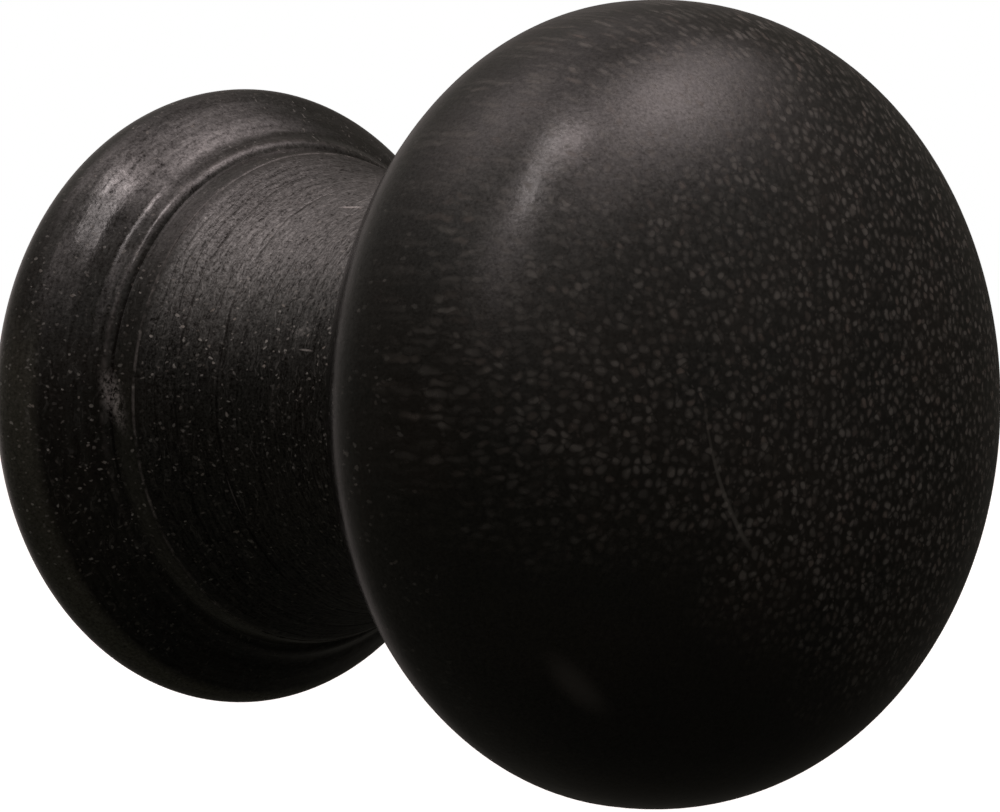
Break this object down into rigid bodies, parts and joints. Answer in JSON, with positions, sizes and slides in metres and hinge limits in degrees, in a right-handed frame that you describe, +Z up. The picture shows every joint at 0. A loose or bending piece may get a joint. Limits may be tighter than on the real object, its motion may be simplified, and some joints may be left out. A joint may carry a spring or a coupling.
{
  "type": "turned wooden cupboard knob",
  "caption": "Turned dark hardwood mushroom knob on a stepped round base, with a threaded brass insert and a screw and washer that clamp it to a panel.",
  "frame": {"origin": "centre of the flat mounting face at the back of the knob", "axes": "+Y out of the mounting face into the panel, along the knob's axis; the head faces -Y; +Z is up, +X is to the right seen from in front"},
  "size_m": [0.038, 0.0575, 0.038],
  "materials": {
    "dark_wood": "waxed, semi-gloss, near-black with pale open pores",
    "brass": "machined",
    "zinc_plate": "bright zinc plating"
  },
  "bodies": {
    "knob": {"knob_body": "dark_wood", "threaded_insert": "brass"},
    "washer": {"washer": "zinc_plate"},
    "screw": {"machine_screw": "zinc_plate"}
  },
  "joints": [
    {"name": "screw_travel", "type": "slide", "parent": "knob", "child": "washer", "axis": [0, 1, 0], "range_m": [-0.0091, 0.0049]},
    {"name": "screw_turn", "type": "hinge", "parent": "washer", "child": "screw", "pos_m": [0, 0.0108, 0], "axis": [0, 1, 0], "range_deg": [-4680, 2520]}
  ],
  "couplings": [
    {"joint": "screw_turn", "follows": "screw_travel", "rad_per_m": 8976}
  ]
}
